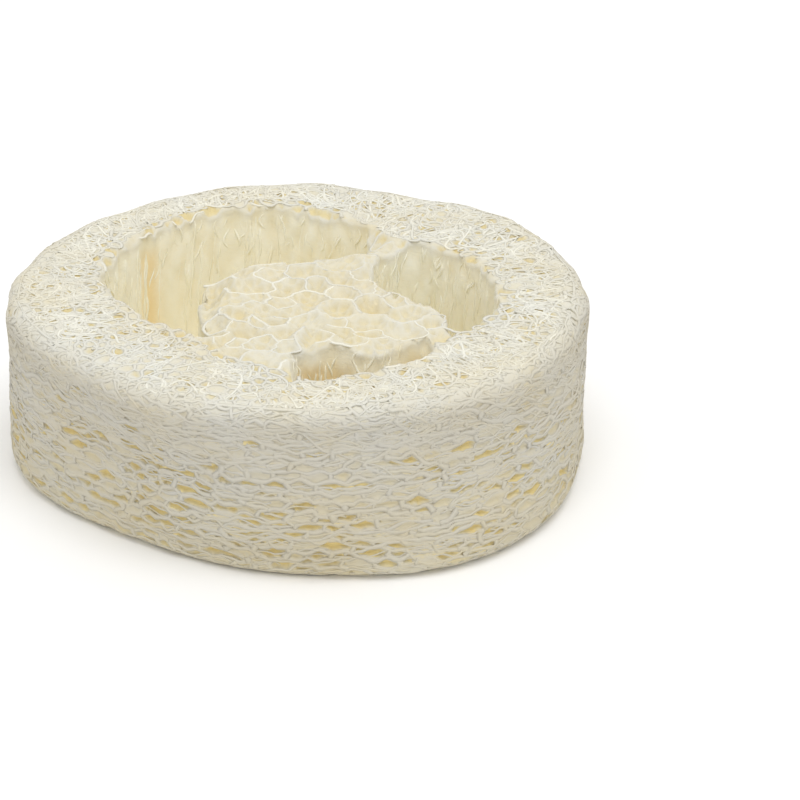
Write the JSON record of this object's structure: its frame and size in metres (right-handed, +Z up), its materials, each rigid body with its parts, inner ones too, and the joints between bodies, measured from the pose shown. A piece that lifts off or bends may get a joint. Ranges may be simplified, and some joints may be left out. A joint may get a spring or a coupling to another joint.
{
  "type": "natural loofah sponge slice",
  "caption": "Thick round slice of dried loofah gourd: a springy wall of netted fibre around open seed chambers and a lacy core, used wet to scrub skin or dishes.",
  "frame": {"origin": "middle of the underside's bounding box, on the surface that the slice lies on", "axes": "+Z up out of the upper cut face, +X across the slice to the viewer's right, +Y to the back as the picture shows it"},
  "size_m": [0.06, 0.0588, 0.019],
  "materials": {
    "loofah_fibre": "matte, dry plant fibre, ivory with straw-yellow gaps"
  },
  "bodies": {
    "root": {"loofah_slice": "loofah_fibre"}
  },
  "joints": []
}
